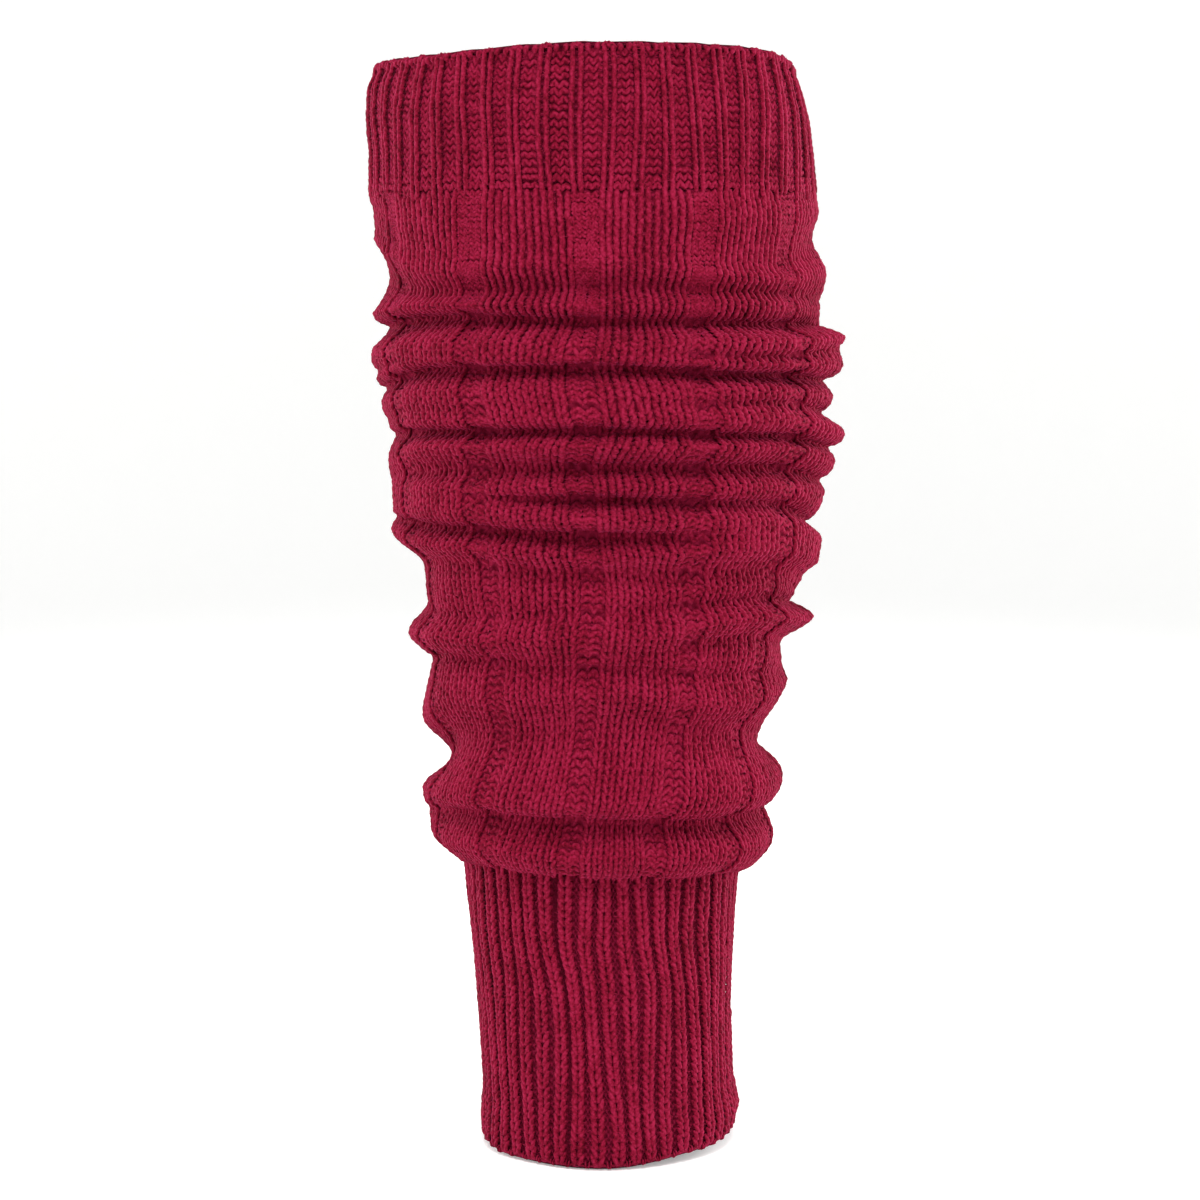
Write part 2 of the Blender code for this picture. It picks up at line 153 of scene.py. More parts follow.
# %% Sections of the cuffs
# The rim and the hem are not level: their heights at the same six places.
RIM_EDGE = (322.0, 320.4, 321.6, 322.4, 320.2, 320.8)
HEM_EDGE = (1.6, -0.6, -0.9, 1.3, 3.0, 0.8)
TOP_SECTIONS = (
    (0.05, (68.0, 66.4, 65.6, 62.0, 57.6, 65.6)),
    (0.15, (69.9, 67.5, 66.2, 63.0, 59.2, 66.5)),
    (0.40, (70.3, 68.8, 66.8, 64.8, 61.6, 67.2)),
    (0.70, (69.4, 68.3, 66.6, 65.2, 63.0, 67.2)),
    (1.00, (69.7, 67.9, 65.8, 64.9, 64.1, 66.3)),
)
ANKLE_SECTIONS = (
    (0.00, (42.0, 43.4, 44.7, 43.0, 41.5, 45.2)),
    (0.14, (40.9, 42.7, 44.2, 42.5, 40.6, 45.2)),
    (0.33, (39.2, 41.5, 43.4, 41.8, 39.8, 44.8)),
    (0.52, (38.0, 40.8, 43.0, 41.4, 39.2, 44.4)),
    (0.83, (36.2, 39.9, 42.8, 41.6, 40.2, 44.2)),
    (0.93, (36.9, 40.4, 43.0, 42.6, 42.1, 44.4)),
    (0.985, (37.0, 40.2, 42.8, 42.0, 40.8, 44.1)),
)

print("top rib is", round(RIM_EDGE[2] - FOLDS[0][1][2], 1), "mm tall at the front")

# %% [markdown]
# ## How a crease is formed
# The cloth above a sharp tuck turns in at once, like a quarter of a circle, and the cloth below
# it slopes back under the roll. Other creases are soft hollows, some with a wide floor. One
# number for each side says which, and it too changes round the tube.

# %% Shapes of the creases
COMMON_SHAPE = ((0.0,) * 6, (0.5,) * 6)
SHAPES = {
    "seam_top": ((1.0,) * 6, (1.0,) * 6),
    "crease_a": ((1.0,) * 6, (1.0,) * 6),
    "crease_c": ((2.0, 1.0, 0.5, 0.5, 0.4, 0.6), (2.0, 1.0, 0.8, 0.6, 0.4, 0.7)),
    "crease_d": ((0.0,) * 6, (0.8, 0.8, 0.8, 0.6, 0.3, 0.6)),
    "crease_i": ((0.0, 1.2, 0.5, 0.3, 0.0, 0.4), (0.3, 1.2, 1.0, 0.8, 0.4, 0.8)),
    "crease_k": ((0.0,) * 6, (0.3, 0.8, 1.6, 1.0, 0.3, 0.6)),
    "crease_l": ((1.0,) * 6, (1.0,) * 6),
    "crease_m": ((0.3,) * 6, (1.0, 0.7, 0.6, 0.6, 0.1, 0.6)),
    "crease_n": ((0.5, 0.4, 0.4, 0.6, 1.0, 0.5), (0.5,) * 6),
    "crease_p": ((1.0, 1.2, 1.0, 1.2, 1.5, 1.0), (1.3, 1.0, 1.0, 0.8, 0.3, 0.8)),
    "crease_q": ((0.0,) * 6, (0.4, 1.1, 1.3, 1.1, 0.3, 0.8)),
    "seam_low": ((0.6, 0.3, 0.1, 0.1, 0.3, 0.2), (1.0,) * 6),
}
TOP_SIDE_POWER = 1.8  # how a sharp tuck's lower side leaves the crest below it
HOLLOW_POWER = 1.8


def fall_share(share, shape, above):
    """How far the cloth has fallen in, with 0 at the crest and 1 in the crease."""
    sharp = 1 - math.sqrt(1 - share * share) if above else share ** TOP_SIDE_POWER
    soft = 0.5 - 0.5 * math.cos(math.pi * share)
    hollow = 1 - (1 - share) ** HOLLOW_POWER
    return np.where(shape < 1, sharp + shape * (soft - sharp), soft + (shape - 1) * (hollow - soft))


print("half way in, a tuck has fallen", round(float(fall_share(0.5, 0.0, True)), 2),
      "and a soft hollow", round(float(fall_share(0.5, 1.0, True)), 2))

# %% [markdown]
# ## One profile from hem to rim
# At each degree round the tube, one line runs from the hem over all the rolls to the rim. It
# turns in through half a circle at both ends, because the knit has a thickness that shows at
# its edges.

# %% Profiles at every turn
TURNS = np.arange(0.0, 360.0, 1.0)
FOLD_STEPS = 12
EDGE_STEPS = 6
TOP_STEPS, ANKLE_STEPS = 24, 30
TOP_SEAM_HEIGHT, LOW_SEAM_HEIGHT = 283.0, 83.0  # mm, near the means of the two seam lines
EDGE_ROUND = 1.8  # mm of radius that the knit turns over at its rim and hem
RIM_SLACK = 0.8  # mm that the yarn of the last course stands above the cloth's edge
INSIDE_REACH = 9.0  # how far the stitches go on inside the rim and the hem, in mm
INSIDE_SLACK = 0.2  # mm that the inside stays clear of the turned edge


def fold_lines():
    """Name, heights and radii at every turn for each fold line, from the low seam up."""
    lines = []
    for name, tall, wide in FOLDS:
        mean = sum(tall) / len(tall)
        lines.append((name, around(eight_columns(tall, mean, BACK_HEIGHT_WAVE), TURNS),
                      around(eight_columns(wide, mean, BACK_RADIUS_WAVE), TURNS)))
    return lines[::-1]


def fold_rows():
    """Heights and radii of the leg from its low seam up to its top seam, one row a step."""
    heights, radii = [], []
    lines = fold_lines()
    for index in range(len(lines) - 1):
        above = index % 2 == 0  # the lower line is a crease, and this is the cloth above it
        crease, crest = (lines[index], lines[index + 1]) if above else (lines[index + 1],
                                                                        lines[index])
        shapes = SHAPES.get(crease[0], COMMON_SHAPE)[0 if above else 1]
        shape = around(eight_columns(shapes, 0.0, 0.0), TURNS)
        for step in range(FOLD_STEPS):
            away = 1 - step / FOLD_STEPS if above else step / FOLD_STEPS
            share = math.sin(0.5 * math.pi * away)  # rows crowd where the cloth turns in fastest
            fall = fall_share(share, shape, above)
            heights.append(crest[1] + share * (crease[1] - crest[1]))
            radii.append(crest[2] + fall * (crease[2] - crest[2]))
    return heights, radii


def cuff_rows(sections, upper, lower, steps):
    """Heights and radii of a cuff from its lower edge up to its upper edge."""
    shares = np.array([share for share, radii in sections])
    table = np.array([around(eight_columns(radii, 0.0, 0.0), TURNS) for share, radii in sections])
    heights, radii = [], []
    for step in range(steps + 1):
        share = 1 - step / steps
        heights.append(upper + share * (lower - upper))
        radii.append(np.array([np.interp(share, shares, table[:, i]) for i in range(len(TURNS))]))
    return heights, radii


def edge_rows(height, radius, way):
    """Half a circle of cloth over an edge; way is 1 over the rim and -1 under the hem."""
    heights, radii = [], []
    for step in range(1, EDGE_STEPS):
        angle = math.pi * step / EDGE_STEPS
        heights.append(height + way * EDGE_ROUND * math.sin(angle))
        radii.append(radius - EDGE_ROUND + EDGE_ROUND * math.cos(angle))
    return heights, radii


leg_heights, leg_radii = fold_rows()
seam_top = around(eight_columns(FOLDS[0][1], TOP_SEAM_HEIGHT, BACK_HEIGHT_WAVE), TURNS)
seam_low = around(eight_columns(FOLDS[-1][1], LOW_SEAM_HEIGHT, BACK_HEIGHT_WAVE), TURNS)
rim_turns = RIM_LIFT * np.cos(np.radians((TURNS - RIB_CENTRE) * RIBS))
rim_line = around(eight_columns(RIM_EDGE, 0.0, 0.0), TURNS) - EDGE_ROUND - RIM_SLACK + rim_turns
hem_line = around(eight_columns(HEM_EDGE, 0.0, 0.0), TURNS) + EDGE_ROUND
top_heights, top_radii = cuff_rows(TOP_SECTIONS, rim_line, seam_top, TOP_STEPS)
ankle_heights, ankle_radii = cuff_rows(ANKLE_SECTIONS, seam_low, hem_line, ANKLE_STEPS)
print(len(leg_heights), "rows on the leg,", len(top_heights) + len(ankle_heights), "on the cuffs")

# %% [markdown]
# ## From profile to courses
# A course is one round of stitches. Along the cloth all courses are about as tall as each
# other, so each profile is cut into equal lengths, folds and all. That is what makes the
# stitches dive into a crease and come out again, as real ones do.

# %% Lay the courses along the cloth
ANKLE_COURSES = 36
TOP_COURSES = 18
LEG_COURSE_HEIGHT = 2.45
COURSE_PARTS = 4  # rows of the surface for each course


def inside_rows(height, radius, way):
    """A few millimetres of the inside, next to an edge."""
    return ([height - way * INSIDE_REACH * share for share in (0.5, 1.0)],
            [radius - 2 * EDGE_ROUND + INSIDE_SLACK] * 2)


hem_in = inside_rows(hem_line, ankle_radii[0], -1)
hem_edge = edge_rows(hem_line, ankle_radii[0], -1)
rim_edge = edge_rows(rim_line, top_radii[-1], 1)
rim_in = inside_rows(rim_line, top_radii[-1], 1)
all_heights = np.array(hem_in[0][::-1] + hem_edge[0][::-1] + ankle_heights + leg_heights[1:]
                       + top_heights + rim_edge[0] + rim_in[0])
all_radii = np.array(hem_in[1][::-1] + hem_edge[1][::-1] + ankle_radii + leg_radii[1:]
                     + top_radii + rim_edge[1] + rim_in[1])
hem_row = len(hem_in[0]) + len(hem_edge[0])
low_row = hem_row + len(ankle_heights) - 1
top_row = low_row + len(leg_heights)
rim_row = top_row + len(top_heights) - 1
lengths = np.hypot(np.diff(all_heights, axis=0), np.diff(all_radii, axis=0))
along = np.vstack([np.zeros(len(TURNS)), np.cumsum(lengths, axis=0)])
leg_length = float((along[top_row] - along[low_row]).mean())
LEG_COURSES = round(leg_length / LEG_COURSE_HEIGHT)
LOW_SEAM = ANKLE_COURSES
TOP_SEAM = LOW_SEAM + LEG_COURSES
RIM = TOP_SEAM + TOP_COURSES
EDGE_COURSES = 4
course_line = np.arange(-EDGE_COURSES, RIM + EDGE_COURSES + 0.01, 1 / COURSE_PARTS)
marks = ((0, hem_row), (LOW_SEAM, low_row), (TOP_SEAM, top_row), (RIM, rim_row))
print("leg cloth", round(leg_length), "mm long,", LEG_COURSES, "courses in", round(
    float((all_heights[top_row] - all_heights[low_row]).mean())), "mm of height")

# %% [markdown]
# The rest of the script asks one question again and again: where is this turn and this course?
# So the profiles are read once onto an even grid of turns and courses, with the direction that
# points out of the cloth at each place. A grid costs one pass here and makes every later answer
# a plain look-up.

# %% Resample the surface on turns and courses
cloth_height = np.zeros((len(TURNS), len(course_line)))
cloth_radius = np.zeros_like(cloth_height)
for index in range(len(TURNS)):
    length = along[:, index]
    mark_length = [length[row] for course, row in marks]
    course = np.interp(length, mark_length, [course for course, row in marks])
    before, after = length < mark_length[0], length > mark_length[-1]
    ankle_course = (mark_length[1] - mark_length[0]) / ANKLE_COURSES
    top_course = (mark_length[3] - mark_length[2]) / TOP_COURSES
    course[before] = (length[before] - mark_length[0]) / ankle_course
    course[after] = RIM + (length[after] - mark_length[-1]) / top_course
    cloth_height[index] = np.interp(course_line, course, all_heights[:, index])
    cloth_radius[index] = np.interp(course_line, course, all_radii[:, index])
turn_angle = np.radians(TURNS)[:, None]
surface = np.stack([cloth_radius * np.sin(turn_angle), -cloth_radius * np.cos(turn_angle),
                    cloth_height], axis=2)
around_step = np.roll(surface, -1, axis=0) - np.roll(surface, 1, axis=0)
up_step = np.gradient(surface, axis=1)
outward = np.cross(around_step, up_step)
outward /= np.maximum(np.linalg.norm(outward, axis=2, keepdims=True), 1e-9)
print("surface grid", surface.shape[:2])

# %% [markdown]
# ## Where a column runs
# Knit columns pull together and purl columns open up, more in a cuff that is stretched wide
# than in one at rest. Pushing the leg down also sways its columns sideways, one way in one
# roll and the other way in the next, so a second table gives that sway in millimetres.

# %% Column edges and sway
TOP_KNIT_SHARE = 0.46  # of a rib's width, stretched over the calf
ANKLE_KNIT_SHARE = 0.75  # nearly closed round the ankle
PURL_WIDTH = 0.90  # of an even column, in the leg's channels
SEAM_BLEND = 1.5  # courses over which one layout turns into the next

# Height, then the sway at (front, right, back, left); positive is to the photo's right.
SWAY = (
    (320.0, (0.0, 0.0, 0.0, 0.0)),
    (262.0, (0.6, 0.0, 0.8, 0.0)),
    (245.0, (0.3, 0.6, -0.8, 0.4)),
    (232.0, (-1.6, 0.8, 0.9, 0.3)),
    (215.0, (2.0, 2.2, -1.0, 1.2)),
    (204.0, (-1.8, 2.4, 1.2, -0.6)),
    (195.0, (-0.8, 0.8, -0.4, -0.8)),
    (186.0, (-0.8, -0.6, 1.0, -1.0)),
    (168.0, (1.4, 0.4, -0.8, 1.2)),
    (148.0, (0.6, -0.8, 0.8, 1.0)),
    (135.0, (0.4, -1.8, -0.6, 0.0)),
    (124.0, (-0.8, -3.6, -1.6, -1.6)),
    (110.0, (-3.0, -3.4, -1.0, -4.0)),
    (101.0, (-5.0, -4.4, -2.6, -5.0)),
    (92.0, (-6.6, -6.0, -4.4, -6.4)),
    (84.0, (-6.4, -6.0, -4.8, -6.2)),
    (66.0, (-6.2, -5.6, -4.6, -6.0)),
    (52.0, (-3.8, -3.4, -4.2, -4.4)),
    (40.0, (-3.3, -3.2, -4.0, -3.8)),
    (-2.0, (-2.0, -2.6, -3.2, -2.6)),
)

# No column runs dead straight: two slow waves, as (mm, waves round the tube, mm a wave upwards).
WANDER = ((0.55, 7, 74.0), (0.40, 11, -108.0))


def rib_edges(knit_share):
    """Turns of the 97 column edges in a cuff, where the even columns are knit."""
    widths = np.tile([2 * knit_share, 2 * (1 - knit_share)], COLUMNS // 2) * COLUMN_TURN
    edges = np.concatenate([[0.0], np.cumsum(widths)])
    return edges - edges[2] + CHANNEL_CENTRE + (1.5 - knit_share) * COLUMN_TURN


def panel_edges():
    """Turns of the 97 column edges in the leg, where each panel starts with its channel."""
    knit_width = (PANEL - 2 * PURL_WIDTH) / (PANEL - 2)
    widths = np.tile([PURL_WIDTH] * 2 + [knit_width] * (PANEL - 2), COLUMNS // PANEL)
    edges = np.concatenate([[0.0], np.cumsum(widths * COLUMN_TURN)])
    return edges + CHANNEL_CENTRE - PURL_WIDTH * COLUMN_TURN


def ease_step(value):
    value = np.clip(value, 0, 1)
    return value * value * (3 - 2 * value)


TOP_EDGES, LEG_EDGES = rib_edges(TOP_KNIT_SHARE), panel_edges()
ANKLE_EDGES = rib_edges(ANKLE_KNIT_SHARE)
sway_heights = np.array([height for height, sways in SWAY])[::-1]
sway_table = np.array([sways for height, sways in SWAY])[::-1]


def column_turn(column, course):
    """Turn in degrees of a place given in columns and courses, before the sway."""
    rounds = np.floor(column / COLUMNS)
    place = column - rounds * COLUMNS
    count = np.arange(COLUMNS + 1)
    top = ease_step((course - TOP_SEAM) / (2 * SEAM_BLEND) + 0.5)
    ankle = 1 - ease_step((course - LOW_SEAM) / (2 * SEAM_BLEND) + 0.5)
    turn = (top * np.interp(place, count, TOP_EDGES) + ankle * np.interp(place, count, ANKLE_EDGES)
            + (1 - top - ankle) * np.interp(place, count, LEG_EDGES))
    return turn + 360.0 * rounds


def grid_value(grid, turn, course):
    """Read a grid of the surface between its rows, round and round in the turn."""
    place = np.mod(turn, 360.0) / (TURNS[1] - TURNS[0])
    row = np.clip((course - course_line[0]) * COURSE_PARTS, 0, len(course_line) - 1.001)
    a, b = np.floor(place).astype(int), np.floor(row).astype(int)
    s, t = place - a, row - b
    if grid.ndim == 3:
        s, t = s[..., None], t[..., None]
    a = a % len(TURNS)
    after = (a + 1) % len(TURNS)
    return ((1 - s) * (1 - t) * grid[a, b] + s * (1 - t) * grid[after, b]
            + (1 - s) * t * grid[a, b + 1] + s * t * grid[after, b + 1])


def on_cloth(column, course, lift):
    """Point in mm and outward direction at a column, a course and a lift over the yarn's middle."""
    turn = column_turn(column, course)
    height = grid_value(cloth_height, turn, course)
    quarter = np.mod(turn, 360.0) / 90.0
    first = np.floor(quarter).astype(int) % 4
    ease = 0.5 - 0.5 * np.cos(np.pi * (quarter - np.floor(quarter)))
    columns = [np.interp(height, sway_heights, sway_table[:, i]) for i in range(4)]
    sways = np.stack(columns)
    sway = (np.take_along_axis(sways, first[None], 0)[0] * (1 - ease)
            + np.take_along_axis(sways, ((first + 1) % 4)[None], 0)[0] * ease)
    for size, waves, rise in WANDER:
        sway = sway + size * np.sin(np.radians(turn) * waves + 2 * np.pi * height / rise)
    turn = turn + np.degrees(sway / grid_value(cloth_radius, turn, course))
    out = grid_value(outward, turn, course)
    out = out / np.maximum(np.linalg.norm(out, axis=-1, keepdims=True), 1e-9)
    return grid_value(surface, turn, course) + out * (lift - YARN_SINK)[..., None], out


print("top rib column", round(float(TOP_EDGES[3] - TOP_EDGES[2]), 2), "degrees wide")

# %% [markdown]
# ## Which stitch goes where
# Seen from outside, a knit stitch is a V of two legs and a purl stitch is a bump. Inside the
# rim and the hem the cloth is seen from its other side, so knit and purl change places there.

# %% Knit or purl


def is_knit(column, course):
    """True for each stitch that shows a V on the side that is seen."""
    rib = column % 2 == 0
    leg = column % PANEL >= 2
    outside = (course >= 0) & (course < RIM)
    in_cuff = (course < LOW_SEAM) | (course >= TOP_SEAM)
    return np.where(in_cuff, np.where(outside, rib, ~rib), leg)


all_columns, all_courses = np.meshgrid(np.arange(COLUMNS), np.arange(-2, RIM + 2))
all_columns, all_courses = all_columns.ravel(), all_courses.ravel()
knit = is_knit(all_columns, all_courses)
print(int(knit.sum()), "knit and", int((~knit).sum()), "purl stitches")

# %% [markdown]
# ## A strand of yarn
# Only the outer half of a strand is ever seen, so each strand is an arched strip: a path of
# five to nine points, and four points across it from edge to edge. That costs 48 triangles a
# stitch, and a whole garment of them still fits. All stitches are made at once, as arrays.

# %% Strands on the cloth
ACROSS = np.radians([-85.0, -30.0, 30.0, 85.0])


def strands(column, course, lift, half_width, thickness):
    """Points (stitch, step, across, xyz) of arched strips along paths on the cloth, in mm."""
    middle, out = on_cloth(column, course, lift)
    path = np.gradient(middle, axis=1)
    side = np.cross(path, out)
    side /= np.maximum(np.linalg.norm(side, axis=2, keepdims=True), 1e-9)
    wide = half_width[..., None, None] * np.sin(ACROSS)[None, None, :, None] * side[:, :, None]
    high = thickness[..., None, None] * np.cos(ACROSS)[None, None, :, None] * out[:, :, None]
    return middle[:, :, None] + wide + high


def column_width(column, course):
    """Width of a column in mm where a stitch sits."""
    turn = column_turn(column, course)
    span = column_turn(column + 1.0, course) - turn
    return np.radians(span) * grid_value(cloth_radius, turn, course)


def scatter(count, amount):
    return rng.normal(0.0, amount, (count, 1))


# %% [markdown]
# A leg of the V starts deep inside the stitch below, comes up to the front, and dives again
# behind the next one. Its two ends are sunk into the cloth, so no end shows.

# %% The V of a knit stitch
LEG_STEPS = np.array([0.0, 0.17, 0.5, 0.82, 1.0])
LEG_LIFT = np.array([-0.50, 0.10, 0.22, 0.04, -0.50])
LEG_SHAPE = np.array([0.60, 0.95, 1.0, 0.92, 0.65])
LEG_FOOT, LEG_HEAD = 0.08, 0.38  # how far the leg is from the column's middle, in columns
LONG_FOOT, LONG_HEAD = 0.19, 0.31  # the same where the cloth is drawn long, under the top rib
RIB_FOOT, RIB_HEAD = 0.255, 0.295  # and where a stretched rib pulls the V open
LONG_COURSES = 22  # courses under the top rib that are drawn long
DRAWN_BLEND = 8  # courses over which the drawn cloth begins
LEG_LENGTH, RIB_LENGTH = 1.65, 1.85  # courses
LEG_WIDTH, RIB_WIDTH = 0.200, 0.195  # half the strand, in columns
LEG_THICKNESS = 0.75  # mm that the strand stands up
SEAM_DIP = 0.45  # mm that the leg's last knit course sinks under a purl column of the top rib
SLIP, SEAM_SLIP = 0.05, 0.25  # courses that a stitch sits off its row, and more at the seam


def knit_legs(columns, courses, side):
    """Left (side -1) or right (side 1) legs of the given knit stitches."""
    count = len(columns)
    steps = np.broadcast_to(LEG_STEPS, (count, len(LEG_STEPS)))
    width = column_width(columns[:, None] + 0.0, courses[:, None] + 0.5)
    pulled = (courses >= TOP_SEAM)[:, None]
    drawn = ease_step((courses - TOP_SEAM + LONG_COURSES) / DRAWN_BLEND)[:, None]
    foot = np.where(pulled, RIB_FOOT, LEG_FOOT + drawn * (LONG_FOOT - LEG_FOOT))
    head = np.where(pulled, RIB_HEAD, LEG_HEAD + drawn * (LONG_HEAD - LEG_HEAD))
    reach = foot + (head - foot) * steps + scatter(count, 0.012)
    length = np.where(pulled, RIB_LENGTH, LEG_LENGTH)
    width = width * np.where(pulled, RIB_WIDTH, LEG_WIDTH)
    column = columns[:, None] + 0.5 + side * reach + scatter(count, 0.02)
    last = (courses == TOP_SEAM - 1) & (columns % 2 == 1)
    slip = scatter(count, SLIP) + scatter(count, SEAM_SLIP) * last[:, None]
    course = courses[:, None] + 0.5 + length * (steps - 0.5) + slip
    lift = LEG_LIFT + scatter(count, 0.07) - SEAM_DIP * last[:, None]
    thickness = LEG_THICKNESS * LEG_SHAPE * (1.0 + scatter(count, 0.05))
    return strands(column, course, lift, LEG_SHAPE * width, thickness)


# %% [markdown]
# A purl stitch shows its head, a low arch, and shares a sinker with its neighbour, an arch
# upside down. Both stand up, and the yarn dives between them, so one wave does for both.
# Beside a knit column the sinker hides behind the V.

# %% The bump of a purl stitch
WAVE_STEPS = np.linspace(0.0, 1.0, 9)
RIB_LUMPS = 2  # bumps across a purl stitch where the top rib pulls at it
# Courses that a head rises over the row, and a sinker falls under it.
TOP_WAVE, LEG_WAVE, LONG_WAVE = 0.33, 0.32, 0.20
TOP_PURL_LIFT, LEG_PURL_LIFT, ANKLE_PURL_LIFT, EDGE_PURL_LIFT = -0.95, -0.60, -1.80, -0.30
DRAWN_RISE = 0.22  # mm that the channels come up again in the drawn cloth
SEAM_RISE = 0.60  # and in the first courses of the top rib, where they grow out of the leg
YOUNG_COURSES = 3  # how many those first courses are
BUMP_LIFT = 0.30
# Half the strand in mm, at a bump and between two: top rib, drawn cloth, the rest of the leg.
TOP_WIDTHS, LONG_WIDTHS, LEG_WIDTHS = (0.60, 0.85), (0.60, 0.85), (0.68, 1.00)
PURL_THICKNESS = 0.70
OPENING_COURSES = 4  # courses of drawn cloth before its purl rows open


def purl_bumps(columns, courses, knit_left, knit_right):
    """Heads and sinkers of the given purl stitches, as one wave each."""
    count = len(columns)
    steps = np.broadcast_to(WAVE_STEPS, (count, len(WAVE_STEPS)))
    leg = ((courses >= LOW_SEAM) & (courses < TOP_SEAM))[:, None]
    top = (courses >= TOP_SEAM)[:, None]
    edge = ((courses >= RIM) | (courses < 0))[:, None]
    drawn = ease_step((courses - TOP_SEAM + LONG_COURSES) / DRAWN_BLEND)[:, None]
    lumps = np.where(top | (drawn > 0.5), RIB_LUMPS, 1)
    wave = -np.cos(2 * np.pi * lumps * steps)
    beside = np.where(steps < 0.5, knit_left[:, None], knit_right[:, None])
    tucked = beside & (np.minimum(steps, 1 - steps) < 0.2 / lumps)
    rise = np.abs(wave) ** 0.8 * np.where(tucked, 0.0, 1.0)
    height = np.where(top, TOP_WAVE, LEG_WAVE + drawn * (LONG_WAVE - LEG_WAVE))
    course = courses[:, None] + 0.5 + height * (1 + scatter(count, 0.25)) * wave
    course = course + scatter(count, 0.05) + rng.normal(0.0, 0.06, steps.shape)
    depth = np.where(leg, LEG_PURL_LIFT, np.where(top, TOP_PURL_LIFT, ANKLE_PURL_LIFT))
    young = np.clip(1 - (courses - TOP_SEAM) / YOUNG_COURSES, 0, 1)[:, None]
    depth = np.where(edge, EDGE_PURL_LIFT, depth + DRAWN_RISE * drawn * leg + SEAM_RISE * young * top)
    bump = np.where(leg | top, BUMP_LIFT * (1 - 0.4 * drawn * leg), 0.0)
    lift = depth + bump * rise + scatter(count, 0.06) + rng.normal(0.0, 0.05, steps.shape)
    thin, wide = [np.where(top, TOP_WIDTHS[i],
                           LEG_WIDTHS[i] + drawn * (LONG_WIDTHS[i] - LEG_WIDTHS[i]))
                  for i in (0, 1)]
    fatness = 1.0 + scatter(count, 0.06)
    return strands(columns[:, None] + steps, course, lift,
                   (wide + (thin - wide) * np.abs(wave)) * fatness,
                   PURL_THICKNESS * (0.85 + 0.15 * rise) * fatness)


# %% [markdown]
# One helper turns arrays of strands into a mesh. A second layer of coordinates tells the yarn
# material where it is on its strand: across it, and along it in millimetres.

# %% Strands to mesh


def strand_mesh(name, groups):
    """One mesh object from groups of strand points; each group is (count, steps, 4, 3)."""
    points, faces, places, start = [], [], [], 0
    for group in groups:
        count, steps, across = group.shape[:3]
        points.append(group.reshape(-1, 3))
        index = start + np.arange(count * steps * across).reshape(count, steps, across)
        quads = np.stack([index[:, :-1, :-1], index[:, :-1, 1:], index[:, 1:, 1:],
                          index[:, 1:, :-1]], axis=-1)
        faces.append(quads.reshape(-1, 4))
        step_length = np.linalg.norm(np.diff(group[:, :, 1], axis=1), axis=2)
        reach = np.concatenate([np.zeros((count, 1)), np.cumsum(step_length, axis=1)], axis=1)
        reach += rng.uniform(0, 40, (count, 1))
        place = np.zeros((count, steps, across, 2))
        place[..., 0] = np.linspace(0, 1, across)
        place[..., 1] = reach[:, :, None]
        places.append(place.reshape(-1, 2))
        start += count * steps * across
    points, faces = np.concatenate(points), np.concatenate(faces)
    places = np.concatenate(places)
    return cloth_object(name, points, faces, places, "yarn")


def cloth_object(name, points, faces, places, layer):
    """Mesh object from points in mm, quads and one pair of coordinates for each point."""
    points = points - np.array([0.0, 0.0, GRIP_HEIGHT])
    mesh = bpy.data.meshes.new(name)
    mesh.vertices.add(len(points))
    mesh.vertices.foreach_set("co", (points * MM).astype(np.float32).ravel())
    mesh.loops.add(faces.size)
    mesh.loops.foreach_set("vertex_index", faces.astype(np.int32).ravel())
    mesh.polygons.add(len(faces))
    mesh.polygons.foreach_set("loop_start", np.arange(0, faces.size, 4, dtype=np.int32))
    mesh.update(calc_edges=True)
    mesh.shade_smooth()
    coordinates = mesh.uv_layers.new(name=layer)
    coordinates.data.foreach_set("uv", places[faces.ravel()].astype(np.float32).ravel())
    made = bpy.data.objects.new(name, mesh)
    bpy.context.scene.collection.objects.link(made)
    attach(made, "root")
    print(name, "has", 2 * len(faces), "triangles")
    return made


# %% [markdown]
# Now the garment can be knitted. The leg has most of the stitches, so it is made as four bands,
# one above the other: no piece gets too heavy, and each stays one object that can be picked.

# %% Knit every zone
def stitch_piece(name, first, last):
    """All stitches from one course up to another, as one piece."""
    band = (all_courses >= first) & (all_courses < last)
    columns, courses, knits = all_columns[band], all_courses[band], knit[band]
    left = is_knit((columns - 1) % COLUMNS, courses)
    right = is_knit((columns + 1) % COLUMNS, courses)
    purl = ~knits
    groups = [knit_legs(columns[knits], courses[knits], side) for side in (-1, 1)]
    groups.append(purl_bumps(columns[purl], courses[purl], left[purl], right[purl]))
    # Drawn long, a purl row opens, and the row of yarn behind it shows between the bumps.
    opened = purl & (courses >= TOP_SEAM - LONG_COURSES + OPENING_COURSES) & (courses < TOP_SEAM - 1)
    if opened.any():
        groups.append(purl_bumps(columns[opened], courses[opened] + 0.5, left[opened],
                                 right[opened]))
    return strand_mesh(name, groups)


LEG_BANDS = 4
ankle_stitches = stitch_piece("ankle_stitches", -2, LOW_SEAM)
band_edges = [round(LOW_SEAM + LEG_COURSES * i / LEG_BANDS) for i in range(LEG_BANDS + 1)]
leg_stitches = [stitch_piece("leg_stitches_%d" % (i + 1), band_edges[i], band_edges[i + 1])
                for i in range(LEG_BANDS)]
top_stitches = stitch_piece("top_stitches", TOP_SEAM, RIM + 2)

# %% [markdown]
# ## Loose fibres
# Spun acrylic is never smooth: short ends stand off the strands everywhere and blur the knit.
# Each one is a thin straight ribbon of two triangles, rooted in a stitch and lying nearly flat.

